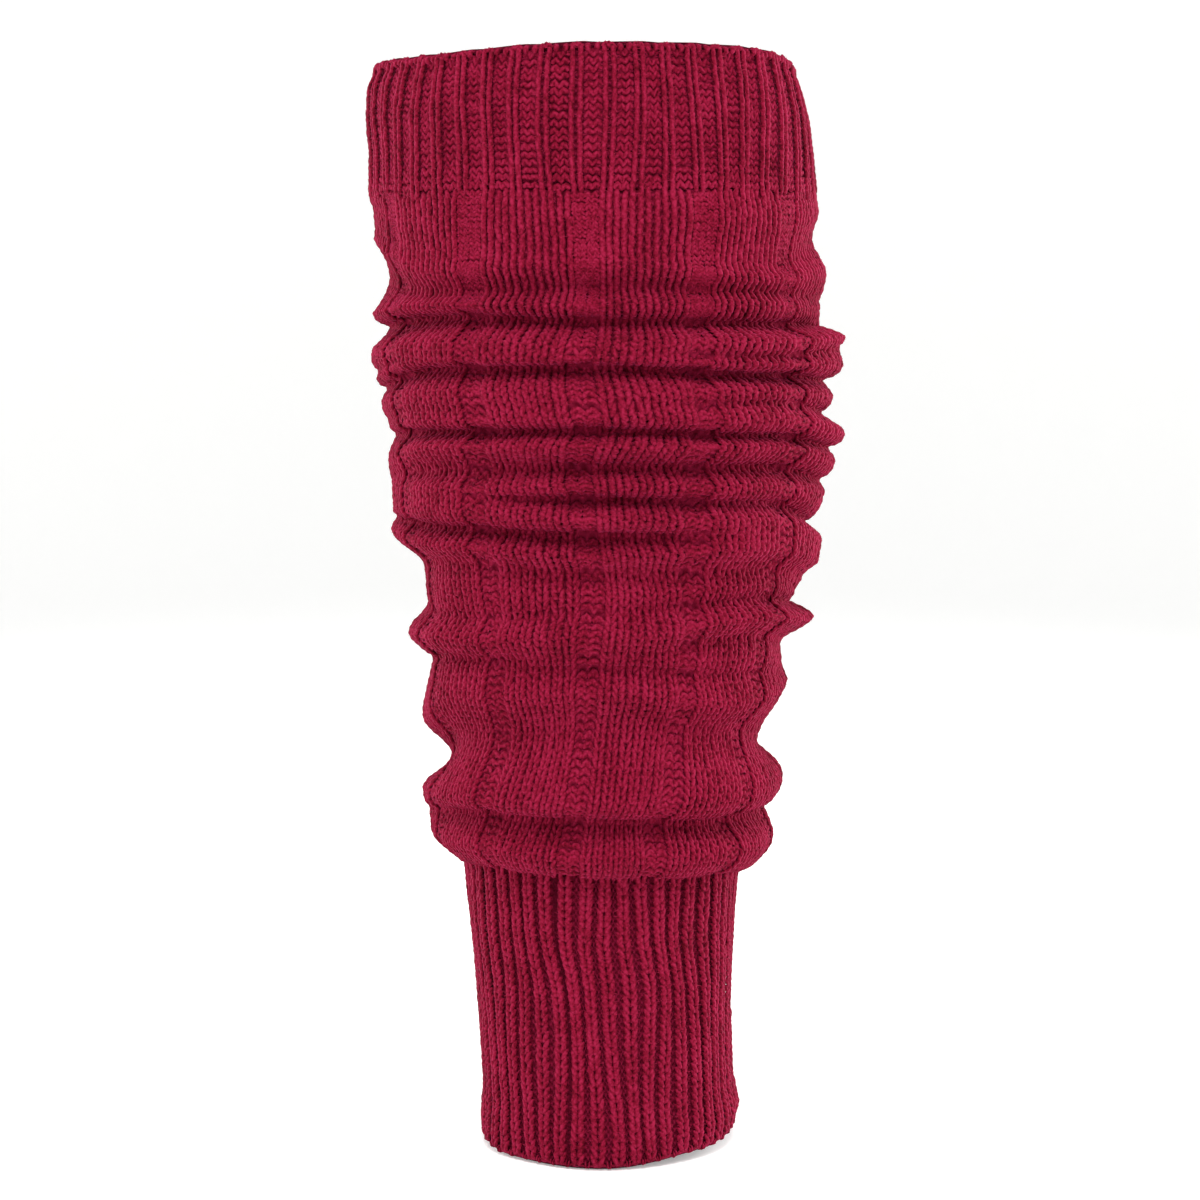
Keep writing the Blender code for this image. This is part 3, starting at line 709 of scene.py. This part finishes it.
# %% Loose fibres on each zone
FIBRES = {"ankle": 8000, "leg": 24000, "top": 6500}
FIBRE_LENGTH = (0.6, 1.7)  # mm
FIBRE_WIDTH = 0.085  # mm; a real fibre is 0.02 mm, too fine to be seen at all in this picture
FIBRE_TILT = (0.02, 0.55)  # how much of its length stands off the cloth
FIBRE_ROOT = (0.18, 0.36)  # columns from a stitch's middle, where its legs are
FIBRE_LIFT = 0.35  # mm over the yarn's middle


def fibre_piece(name, count, first, last):
    """Short straight ribbons that stand off the stitches between two courses."""
    knits = np.nonzero(knit & (all_courses >= first) & (all_courses < last))[0]
    stitch = rng.choice(knits, (count, 1))
    column = all_columns[stitch] + 0.5 + rng.choice([-1, 1], (count, 1)) * rng.uniform(
        *FIBRE_ROOT, (count, 1))
    course = all_courses[stitch] + rng.uniform(0, 1, (count, 1))
    root, out = on_cloth(column, course, np.full((count, 1), FIBRE_LIFT))
    root, out = root[:, 0], out[:, 0]
    aim = rng.normal(size=(count, 3))
    flat = aim - out * (aim * out).sum(axis=1, keepdims=True)
    flat /= np.linalg.norm(flat, axis=1, keepdims=True)
    tilt = rng.uniform(*FIBRE_TILT, (count, 1))
    length = rng.uniform(*FIBRE_LENGTH, (count, 1))
    path = np.stack([root, root + length * (flat + tilt * out)], axis=1)
    side = np.cross(flat, out) + out * rng.uniform(-1, 1, (count, 1))
    side *= 0.5 * FIBRE_WIDTH / np.linalg.norm(side, axis=1, keepdims=True)
    group = np.stack([path - side[:, None], path + side[:, None]], axis=2)
    return strand_mesh(name, [group])


ankle_fibres = fibre_piece("ankle_fibres", FIBRES["ankle"], 0, LOW_SEAM)
leg_fibres = fibre_piece("leg_fibres", FIBRES["leg"], LOW_SEAM, TOP_SEAM)
top_fibres = fibre_piece("top_fibres", FIBRES["top"], TOP_SEAM, RIM)

# %% [markdown]
# ## The cloth behind the stitches
# Between the strands one would see straight through. A thin closed tube behind each zone shuts
# that, gives the inside its own surface, and takes the place of the plain part from the packed
# model. Its inside keeps the wall's thickness from every point of the outside.

# %% Two faces of the cloth
INSIDE_STEP = 1.6  # mm of height between two rows of the inside
OFFSET_STEPS = 9


def outside_face(columns, first, last, sink):
    """Points of the cloth just under the yarn, two rows for each course."""
    column, course = np.meshgrid(columns, np.arange(first, last + 0.01, 0.5), indexing="ij")
    points, _ = on_cloth(column, course, np.full(column.shape, YARN_SINK - sink))
    return points, course


def inside_radius(index, heights):
    """Radius of the inside at the given heights, for one turn of the surface."""
    rows = slice(hem_row, rim_row + 1)
    tall, wide = all_heights[rows, index], all_radii[rows, index]
    best = np.interp(heights, tall, wide) - WALL
    for step in range(1, OFFSET_STEPS):
        away = WALL * step / OFFSET_STEPS
        reach = math.sqrt(WALL * WALL - away * away)
        for side in (-away, away):
            best = np.minimum(best, np.interp(heights + side, tall, wide) - reach)
    return best


def inside_face(columns, first, last):
    """Points of the inside, from the height of one course up to that of another."""
    ends = [cloth_height[:, round((course - course_line[0]) * COURSE_PARTS)]
            for course in (first, last)]
    rows = max(3, round(float((ends[1] - ends[0]).mean()) / INSIDE_STEP))
    turns = np.mod(column_turn(columns, np.full(len(columns), (first + last) / 2)), 360.0)
    points = np.zeros((len(columns), rows + 1, 3))
    course = np.zeros((len(columns), rows + 1))
    for row, turn in enumerate(turns):
        near = int(round(turn)) % len(TURNS)
        heights = np.linspace(ends[0][near], ends[1][near], rows + 1)
        radius, angle = inside_radius(near, heights), math.radians(turn)
        points[row] = np.stack([radius * math.sin(angle), -radius * math.cos(angle), heights], 1)
        course[row] = np.interp(heights, cloth_height[near], course_line)
    return points, course


# %% [markdown]
# The two faces join over both ends into one closed tube for each zone. Its area and its length
# along the folds are measured from the stitches' own surface.


def tube_cloth(zone, node, first, last):
    """Closed thin tube between two courses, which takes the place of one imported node."""
    columns = np.arange(0.0, COLUMNS, 1.0)
    name = zone + "_cloth"
    outer, outer_course = outside_face(columns, first, last, CLOTH_SINK[zone])
    inner, inner_course = inside_face(columns, first, last)
    ring = np.concatenate([outer, inner[:, ::-1]], axis=1)
    course = np.concatenate([outer_course, inner_course[:, ::-1]], axis=1)
    index = np.arange(course.size).reshape(course.shape)
    after, above = np.roll(index, -1, axis=0), np.roll(index, -1, axis=1)
    faces = np.stack([index, after, np.roll(after, -1, axis=1), above], axis=-1)
    places = np.stack([np.broadcast_to(columns[:, None], course.shape), course], axis=-1)
    cloth = cloth_object(name, ring.reshape(-1, 3), faces.reshape(-1, 4), places.reshape(-1, 2),
                         "knit")
    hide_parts(node)
    return cloth


ankle_cloth = tube_cloth("ankle", "ankle_rib", -1, LOW_SEAM)
leg_cloth = tube_cloth("leg", "slouched_leg", LOW_SEAM, TOP_SEAM)
top_cloth = tube_cloth("top", "top_rib", TOP_SEAM, RIM + 1)

# %% [markdown]
# ## Yarn
# The yarn is spun acrylic in a deep crimson. Three things tell the eye that it is yarn and not
# plastic: the tone wanders from stitch to stitch, the plies twist round each other, and loose
# fibres catch light at a grazing angle, which a pinkish sheen stands for.

# %% Colours and one helper for nodes
CRIMSON = "#780b27"
CRIMSON_LIGHT = "#90193a"
CRIMSON_DEEP = "#4e0312"
FIBRE_PINK = "#c8407a"
FIBRE_LIGHT = "#9c2040"


def linear(code, alpha=1.0):
    """Turn an sRGB hex colour into the linear values that a shader takes."""
    values = [int(code[i:i + 2], 16) / 255 for i in (1, 3, 5)]
    return tuple(v / 12.92 if v <= 0.04045 else ((v + 0.055) / 1.055) ** 2.4 for v in values) + (alpha,)


def add_node(tree, kind, settings=None, links=None):
    """Add a node, set its values and link its inputs; links maps an input to an output."""
    node = tree.nodes.new(kind)
    for key, value in (settings or {}).items():
        if isinstance(key, str) and hasattr(node, key):
            setattr(node, key, value)
        else:
            node.inputs[key].default_value = value
    for key, output in (links or {}).items():
        tree.links.new(output, node.inputs[key])
    return node


def new_material(name):
    """An empty material with its node tree and its principled shader."""
    material = bpy.data.materials.new(name)
    material.use_nodes = True
    return material, material.node_tree, material.node_tree.nodes["Principled BSDF"]


def stops(node, points):
    """Set the stops of a colour ramp from (place, colour) pairs."""
    ramp = node.color_ramp
    while len(ramp.elements) < len(points):
        ramp.elements.new(1.0)
    for element, (place, colour) in zip(ramp.elements, points):
        element.position = place
        element.color = colour


print("crimson is", [round(v, 3) for v in linear(CRIMSON)[:3]])

# %% [markdown]
# The strand's own coordinates carry the twist and the painted shade at its edges, and the
# object's own coordinates carry the dye and the fibres. A picture wrapped round the strand could
# do the same, but noise and stripes have a size in millimetres that can be measured on real
# yarn, and no seam.

# %% Crimson acrylic yarn
PLY_LENGTH = 3.4  # mm for one twist of a ply, about what chunky yarn has


def yarn_material():
    """Crimson acrylic yarn: matt, fibrous, with a pink bloom where it is seen at an angle."""
    material, tree, shader = new_material("crimson acrylic yarn")
    place = add_node(tree, "ShaderNodeUVMap", {"uv_map": "yarn"})
    sides = add_node(tree, "ShaderNodeSeparateXYZ", None, {0: place.outputs[0]})
    spot = add_node(tree, "ShaderNodeTexCoord")
    # Dye takes unevenly: patches of about 9 mm.
    patches = add_node(tree, "ShaderNodeTexNoise", {"Scale": 110.0, "Detail": 2.0},
                       {"Vector": spot.outputs["Object"]})
    # Single fibres are 0.02 mm thick; drawn at about 0.7 mm, the finest that the picture shows.
    fibres = add_node(tree, "ShaderNodeTexNoise", {"Scale": 1300.0, "Detail": 1.0},
                      {"Vector": spot.outputs["Object"]})
    # The twist is a slanted stripe in the strand's own coordinates.
    run = add_node(tree, "ShaderNodeMath", {"operation": "MULTIPLY", 1: 1.0 / PLY_LENGTH},
                   {0: sides.outputs["Y"]})
    slant = add_node(tree, "ShaderNodeMath", {"operation": "MULTIPLY_ADD", 1: 0.8},
                     {0: sides.outputs["X"], 2: run.outputs[0]})
    twist = add_node(tree, "ShaderNodeMath", {"operation": "PINGPONG", 1: 0.5},
                     {0: slant.outputs[0]})
    # Painted shade and highlight: the strand's colour is darker at its edges, which lie in each
    # other's shade, and lighter along its middle.
    edge = add_node(tree, "ShaderNodeMath", {"operation": "PINGPONG", 1: 0.5},
                    {0: sides.outputs["X"]})
    tone = add_node(tree, "ShaderNodeMath", {"operation": "MULTIPLY_ADD", 1: 0.50, 2: -0.27},
                    {0: patches.outputs["Fac"]})
    tone = add_node(tree, "ShaderNodeMath", {"operation": "MULTIPLY_ADD", 1: 1.00},
                    {0: fibres.outputs["Fac"], 2: tone.outputs[0]})
    tone = add_node(tree, "ShaderNodeMath", {"operation": "MULTIPLY_ADD", 1: 0.25},
                    {0: twist.outputs[0], 2: tone.outputs[0]})
    # The painted edge shade and the painted middle highlight go into the tone here.
    tone = add_node(tree, "ShaderNodeMath", {"operation": "MULTIPLY_ADD", 1: 0.55},
                    {0: edge.outputs[0], 2: tone.outputs[0]})
    ramp = add_node(tree, "ShaderNodeValToRGB", None, {"Fac": tone.outputs[0]})
    stops(ramp, [(0.40, linear(CRIMSON_DEEP)), (0.70, linear(CRIMSON)),
                 (1.00, linear(CRIMSON_LIGHT))])
    height = add_node(tree, "ShaderNodeMath", {"operation": "MULTIPLY_ADD", 1: 0.8},
                      {0: twist.outputs[0], 2: fibres.outputs["Fac"]})
    bump = add_node(tree, "ShaderNodeBump", {"Strength": 0.55, "Distance": 0.00022},
                    {"Height": height.outputs[0]})
    tree.links.new(ramp.outputs["Color"], shader.inputs["Base Color"])
    tree.links.new(bump.outputs[0], shader.inputs["Normal"])
    shader.inputs["Roughness"].default_value = 0.85
    shader.inputs["Specular IOR Level"].default_value = 0.06
    shader.inputs["Sheen Weight"].default_value = 0.36
    shader.inputs["Sheen Roughness"].default_value = 0.35
    shader.inputs["Sheen Tint"].default_value = linear(FIBRE_PINK)
    return material


# %% [markdown]
# A loose fibre is thin and nearly clear, so it looks lighter and pinker than the strand.

# %% Loose acrylic fibre
def fibre_material():
    """Single acrylic fibres: pale crimson, matt."""
    material, tree, shader = new_material("loose acrylic fibre")
    shader.inputs["Base Color"].default_value = linear(FIBRE_LIGHT)
    shader.inputs["Roughness"].default_value = 0.8
    shader.inputs["Specular IOR Level"].default_value = 0.1
    return material


# %% [markdown]
# Inside, the cloth is the same yarn seen from its other side: small bumps, row above row. Its
# colour is painted shade: a shade deeper, because no light from the room grazes it, and deeper
# still between the bumps. The same cloth shows between the strands and in the creases, so the
# painted shade shows there too.

# %% The same yarn as cloth, seen from inside
def cloth_material():
    """Inside of the knit: rows of bumps one course tall, in the columns' own coordinates, in a
    painted shade that is deepest between the bumps.
    """
    material, tree, shader = new_material("crimson acrylic knit in painted shade")
    place = add_node(tree, "ShaderNodeUVMap", {"uv_map": "knit"})
    sides = add_node(tree, "ShaderNodeSeparateXYZ", None, {0: place.outputs[0]})
    waves = []
    for axis in ("X", "Y"):
        full = add_node(tree, "ShaderNodeMath", {"operation": "MULTIPLY", 1: 2 * math.pi},
                        {0: sides.outputs[axis]})
        waves.append(add_node(tree, "ShaderNodeMath", {"operation": "COSINE"}, {0: full.outputs[0]}))
    knob = add_node(tree, "ShaderNodeMath", {"operation": "MULTIPLY"},
                    {0: waves[0].outputs[0], 1: waves[1].outputs[0]})
    spot = add_node(tree, "ShaderNodeTexCoord")
    fibres = add_node(tree, "ShaderNodeTexNoise", {"Scale": 1500.0, "Detail": 3.0},
                      {"Vector": spot.outputs["Object"]})
    height = add_node(tree, "ShaderNodeMath", {"operation": "MULTIPLY_ADD", 1: 0.8},
                      {0: fibres.outputs["Fac"], 2: knob.outputs[0]})
    # Painted shade: the colour follows the height and is deepest between the bumps. The fibre noise in
    # it is a random tone.
    tone = add_node(tree, "ShaderNodeMath", {"operation": "MULTIPLY_ADD", 1: 0.25, 2: 0.35},
                    {0: height.outputs[0]})
    ramp = add_node(tree, "ShaderNodeValToRGB", None, {"Fac": tone.outputs[0]})
    stops(ramp, [(0.1, linear(CRIMSON_DEEP)), (0.8, linear(CRIMSON_LIGHT))])
    bump = add_node(tree, "ShaderNodeBump", {"Strength": 0.8, "Distance": 0.0008},
                    {"Height": height.outputs[0]})
    tree.links.new(ramp.outputs["Color"], shader.inputs["Base Color"])
    tree.links.new(bump.outputs[0], shader.inputs["Normal"])
    shader.inputs["Roughness"].default_value = 0.95
    shader.inputs["Specular IOR Level"].default_value = 0.03
    return material


yarn, loose_fibre, knit_cloth = yarn_material(), fibre_material(), cloth_material()
for piece in (ankle_fibres, leg_fibres, top_fibres):
    piece.data.materials.append(loose_fibre)
for piece in [ankle_stitches, top_stitches] + leg_stitches:
    piece.data.materials.append(yarn)
for piece in (ankle_cloth, leg_cloth, top_cloth):
    piece.data.materials.append(knit_cloth)

# %% [markdown]
# ## The photo's light and camera
# The photo is a catalogue picture: a white ground, large soft lights, hardly a shadow. The
# camera stands level with the upper leg and looks down a little, so the rim curves up and the
# hem curves down.

# %% Floor, light and camera
PAPER_SIDES = 96
PAPER_RADIUS, PAPER_BEND, PAPER_WALL = 2.6, 1.2, 1.8  # metres
PAPER_GLOW = 0.26  # the paper glows a little itself, to be as white as the photo's ground
MIDDLE = (0.0, 0.0, -0.15)  # what the lights look at
ROOM_LIGHT = 0.53
CAMERA_PLACE = (-0.0006, -0.850, -0.0772)
CAMERA_DOWN = 0.0735  # radians that the camera looks down
CAMERA_LENS, CAMERA_FILM = 85.0, 36.0  # mm


def paper_dish(height, radius, bend, top):
    """Pale paper: flat under the object, and bent up into a low wall all round it."""
    line = [(0.0, height), (radius, height)]
    line += [(radius + bend * math.sin(math.radians(a)),
              height + bend * (1 - math.cos(math.radians(a)))) for a in range(6, 91, 6)]
    line.append((radius + bend, height + top))
    turns = [2 * math.pi * i / PAPER_SIDES for i in range(PAPER_SIDES)]
    points = [(r * math.cos(t), r * math.sin(t), z) for r, z in line for t in turns]
    faces = []
    for row in range(0, (len(line) - 1) * PAPER_SIDES, PAPER_SIDES):
        for i in range(PAPER_SIDES):
            after = (i + 1) % PAPER_SIDES
            faces.append((row + i, row + after, row + PAPER_SIDES + after, row + PAPER_SIDES + i))
    mesh = bpy.data.meshes.new("paper_dish")
    mesh.from_pydata(points, [], faces)
    mesh.shade_smooth()
    dish = bpy.data.objects.new("paper_dish", mesh)
    bpy.context.scene.collection.objects.link(dish)
    material, tree, shader = new_material("pale paper")
    shader.inputs["Base Color"].default_value = linear("#f6f6f5")
    shader.inputs["Roughness"].default_value = 0.95
    shader.inputs["Emission Color"].default_value = linear("#ffffff")
    shader.inputs["Emission Strength"].default_value = PAPER_GLOW
    mesh.materials.append(material)
    return dish


def soft_light(name, place, target, size, power, colour="#ffffff"):
    """A square area light that looks at a target."""
    data = bpy.data.lights.new(name, "AREA")
    data.size, data.energy, data.color = size, power, linear(colour)[:3]
    lamp = bpy.data.objects.new(name, data)
    lamp.location = place
    way = Vector(target) - Vector(place)
    lamp.rotation_euler = way.to_track_quat("-Z", "Y").to_euler()
    bpy.context.scene.collection.objects.link(lamp)
    return lamp


paper_dish((min(HEM_EDGE) - GRIP_HEIGHT) * MM, PAPER_RADIUS, PAPER_BEND, PAPER_WALL)
soft_light("key", (0.0, -0.9, 1.1), MIDDLE, 0.8, 19.0)
soft_light("left_rim", (-1.1, 0.5, 0.1), MIDDLE, 0.8, 13.0)
soft_light("right_rim", (1.1, 0.5, 0.1), MIDDLE, 0.8, 18.0)
world = bpy.data.worlds.new("white room")
world.use_nodes = True
world.node_tree.nodes["Background"].inputs["Color"].default_value = (1.0, 1.0, 1.0, 1.0)
world.node_tree.nodes["Background"].inputs["Strength"].default_value = ROOM_LIGHT
scene = bpy.context.scene
scene.world = world
scene.view_settings.view_transform = "Standard"
camera_data = bpy.data.cameras.new("camera")
camera_data.lens, camera_data.sensor_width = CAMERA_LENS, CAMERA_FILM
camera = bpy.data.objects.new("camera", camera_data)
camera.location = CAMERA_PLACE
camera.rotation_euler = (math.pi / 2 - CAMERA_DOWN, 0.0, 0.0)
scene.collection.objects.link(camera)
scene.camera = camera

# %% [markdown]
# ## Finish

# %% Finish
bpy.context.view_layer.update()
